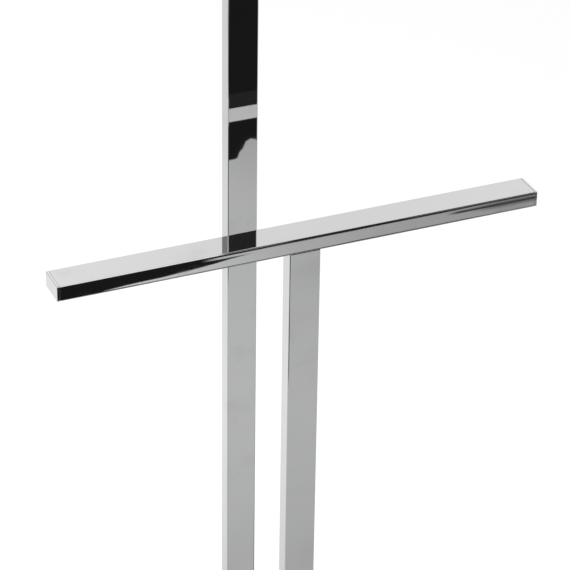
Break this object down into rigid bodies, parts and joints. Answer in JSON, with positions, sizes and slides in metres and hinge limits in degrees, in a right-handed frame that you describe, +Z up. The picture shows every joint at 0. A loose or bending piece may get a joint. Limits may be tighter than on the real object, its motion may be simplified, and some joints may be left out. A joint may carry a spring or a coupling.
{
  "type": "valet stand",
  "caption": "Free-standing valet stand of rectangular tube: a low crossbar for trousers in front of a tall one for a jacket, on one flat base plate.",
  "frame": {"origin": "on the floor, below the middle of the base plate", "axes": "+X along both crossbars, -Y towards the front (the low crossbar's side), +Z up"},
  "size_m": [0.464, 0.28, 1.05],
  "materials": {
    "tube_chrome": "mirror-polished chrome plate on steel tube, faint waviness and polishing marks",
    "cap_chrome": "chrome-plated plastic end cap, bright, slightly softer than the tube",
    "plate_chrome": "polished chrome plate on flat steel",
    "black_nylon": "moulded black nylon",
    "zinc_plated_steel": "bright zinc-plated fasteners",
    "foot_rubber": "black rubber, matt"
  },
  "bodies": {
    "root": {"base_plate": "plate_chrome", "front_upright": "tube_chrome", "front_crossbar": "tube_chrome", "front_left_end_cap": "cap_chrome", "front_right_end_cap": "cap_chrome", "front_head_plug": "black_nylon", "front_foot_plug": "black_nylon", "front_tie_rod": "zinc_plated_steel", "front_rivet_nut": "zinc_plated_steel", "front_flat_washer": "zinc_plated_steel", "front_spring_washer": "zinc_plated_steel", "front_hex_nut": "zinc_plated_steel", "rear_upright": "tube_chrome", "rear_crossbar": "tube_chrome", "rear_left_end_cap": "cap_chrome", "rear_right_end_cap": "cap_chrome", "rear_head_plug": "black_nylon", "rear_foot_plug": "black_nylon", "rear_tie_rod": "zinc_plated_steel", "rear_rivet_nut": "zinc_plated_steel", "rear_flat_washer": "zinc_plated_steel", "rear_spring_washer": "zinc_plated_steel", "rear_hex_nut": "zinc_plated_steel", "front_left_foot": "foot_rubber", "front_right_foot": "foot_rubber", "rear_left_foot": "foot_rubber", "rear_right_foot": "foot_rubber", "front_left_foot_screw": "zinc_plated_steel", "front_right_foot_screw": "zinc_plated_steel", "rear_left_foot_screw": "zinc_plated_steel", "rear_right_foot_screw": "zinc_plated_steel"}
  },
  "joints": []
}
